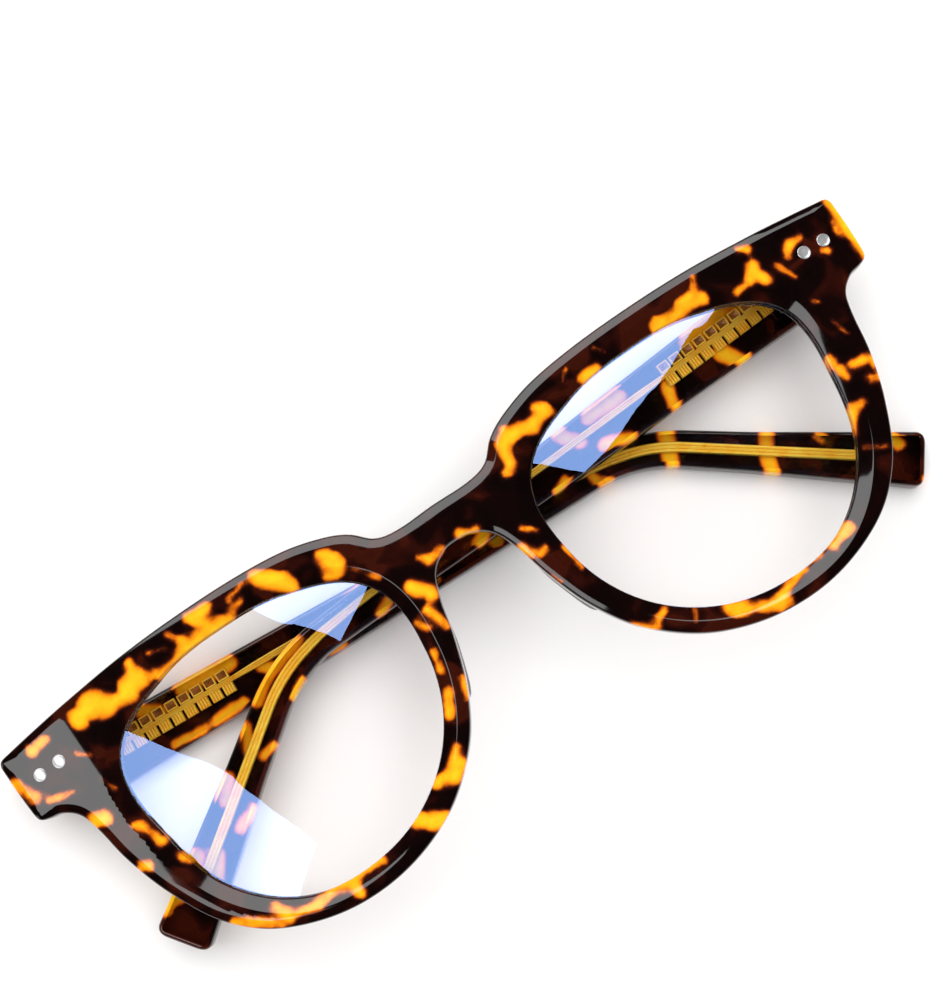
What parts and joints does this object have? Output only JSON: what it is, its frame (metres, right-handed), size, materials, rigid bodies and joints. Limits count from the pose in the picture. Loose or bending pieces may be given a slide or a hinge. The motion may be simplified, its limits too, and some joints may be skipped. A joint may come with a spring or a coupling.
{
  "type": "blue light glasses",
  "caption": "Folding blue light glasses with a thick tortoiseshell front, clear lenses, riveted hinges and wire-cored temples, lying folded on their back.",
  "frame": {"origin": "on the surface the folded glasses lie on, below the middle of their width and height", "axes": "+X along the front to the wearer's left, +Y towards the brow, +Z out of the front's face"},
  "size_m": [0.147, 0.049, 0.0204],
  "materials": {
    "tortoise_acetate": "polished dark tortoiseshell with amber patches",
    "pad_acetate": "polished dark acetate",
    "lens_clear": "clear resin with a blue-reflecting coat",
    "steel": "polished steel",
    "gold_core": "gold-coloured metal"
  },
  "bodies": {
    "front": {"front": "tortoise_acetate", "nose_pad_left": "pad_acetate", "nose_pad_right": "pad_acetate", "lens_left": "lens_clear", "lens_right": "lens_clear", "hinge_front_plate_left": "steel", "hinge_front_plate_right": "steel", "hinge_screw_left": "steel", "hinge_screw_right": "steel", "front_rivet_left_inner": "steel", "front_rivet_left_outer": "steel", "front_rivet_right_inner": "steel", "front_rivet_right_outer": "steel"},
    "left_temple": {"temple_left": "tortoise_acetate", "temple_core_left": "gold_core", "hinge_temple_leaf_left": "steel", "temple_rivet_left_near": "steel", "temple_rivet_left_far": "steel"},
    "right_temple": {"temple_right": "tortoise_acetate", "temple_core_right": "gold_core", "hinge_temple_leaf_right": "steel", "temple_rivet_right_near": "steel", "temple_rivet_right_far": "steel"}
  },
  "joints": [
    {"name": "left_temple_hinge", "type": "hinge", "parent": "front", "child": "left_temple", "pos_m": [0.06667, 0.0154, 0.0102], "axis": [0, -1, 0], "range_deg": [0, 94.8]},
    {"name": "right_temple_hinge", "type": "hinge", "parent": "front", "child": "right_temple", "pos_m": [-0.06667, 0.0154, 0.0059], "axis": [0, 1, 0], "range_deg": [0, 91.1]}
  ]
}
